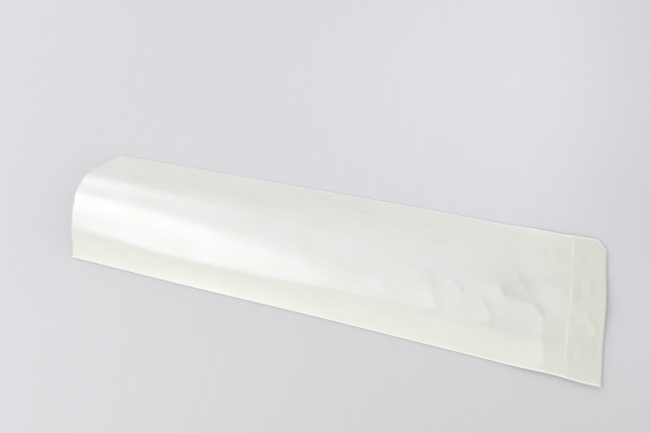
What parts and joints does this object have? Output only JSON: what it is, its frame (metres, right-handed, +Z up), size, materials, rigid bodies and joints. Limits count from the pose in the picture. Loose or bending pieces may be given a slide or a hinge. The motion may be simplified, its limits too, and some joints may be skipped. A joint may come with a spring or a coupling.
{
  "type": "sub sandwich bag",
  "caption": "Long narrow side-gusseted paper bag, lying flat with an arched open mouth at one end and its bottom turned under and glued at the other",
  "frame": {"origin": "middle of the bag's footprint, on the surface it lies on", "axes": "+X runs along the bag from its open mouth to its closed bottom, +Y across it from the square corner to the turned-in corner, +Z up, from the glued back to the plain front"},
  "size_m": [0.3578, 0.1032, 0.0295],
  "materials": {
    "paper": "smooth off-white greaseproof paper with a soft sheen"
  },
  "bodies": {
    "root": {"paper_bag": "paper"}
  },
  "joints": []
}
